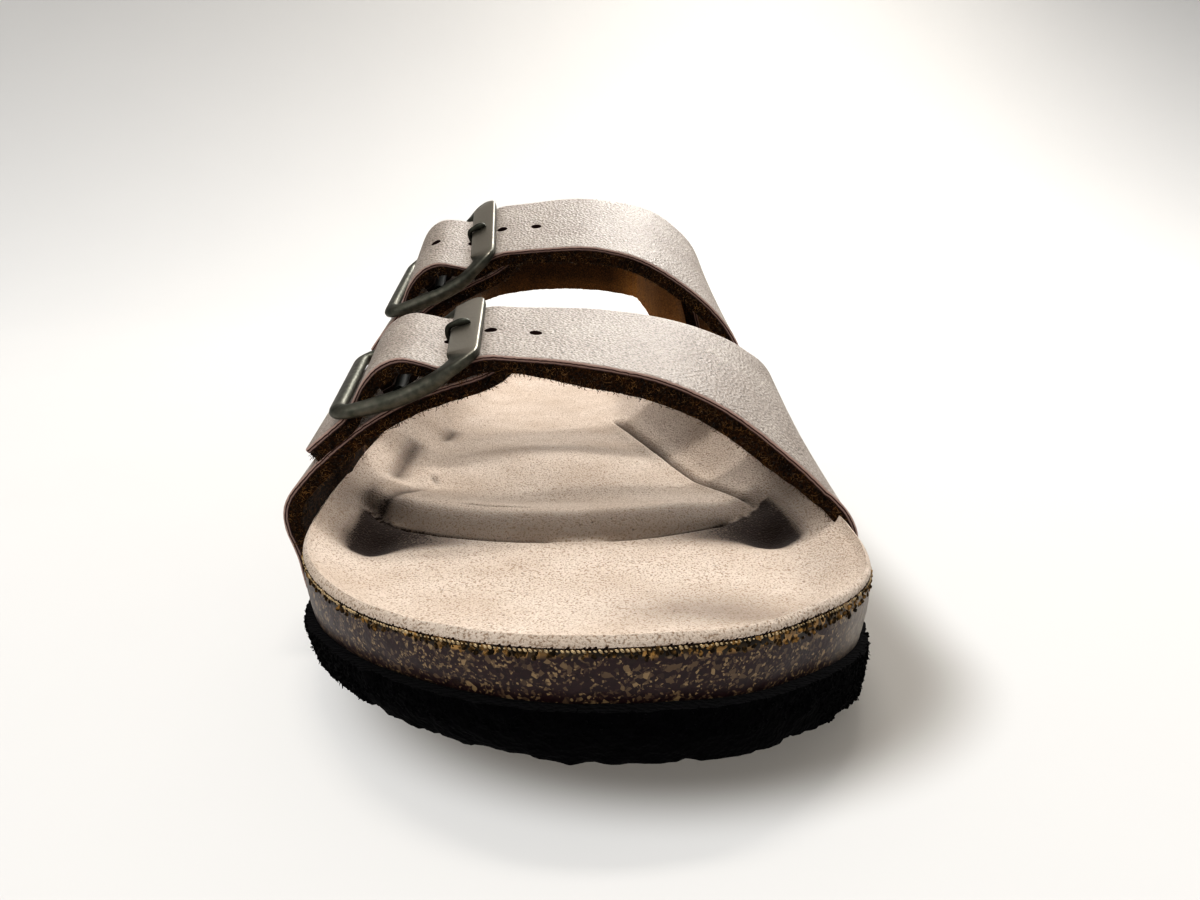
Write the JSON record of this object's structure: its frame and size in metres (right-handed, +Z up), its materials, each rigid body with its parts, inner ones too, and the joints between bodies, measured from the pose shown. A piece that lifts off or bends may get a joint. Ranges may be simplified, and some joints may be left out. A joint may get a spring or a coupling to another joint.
{
  "type": "sandal",
  "caption": "Flat footbed sandal for a right foot with buckled leather straps over toes and instep, a strap round the heel, cork midsole and black lugged rubber outsole.",
  "frame": {"origin": "middle of the sandal's box on the floor", "axes": "+X to the inner side of the foot, +Y from the toe to the heel, +Z up"},
  "size_m": [0.1104, 0.2598, 0.0862],
  "materials": {
    "outsole_rubber": "matt black foamed rubber with a rough cut side",
    "cork": "pressed cork with tan flecks under a clear sealing coat",
    "suede": "beige napped suede",
    "strap_leather": "taupe fine-grained leather face over a brown felt lining",
    "buckle_metal": "dark pewter plating, worn bright on the wide bar",
    "keeper_leather": "brown leather loop"
  },
  "bodies": {
    "root": {"outsole": "outsole_rubber", "cork_midsole": "cork", "footbed": "suede", "front_strap": "strap_leather", "front_strap_tab": "strap_leather", "rear_strap": "strap_leather", "rear_strap_tab": "strap_leather", "heel_strap": "strap_leather", "front_buckle": "buckle_metal", "rear_buckle": "buckle_metal", "front_buckle_keeper": "keeper_leather", "rear_buckle_keeper": "keeper_leather"}
  },
  "joints": []
}
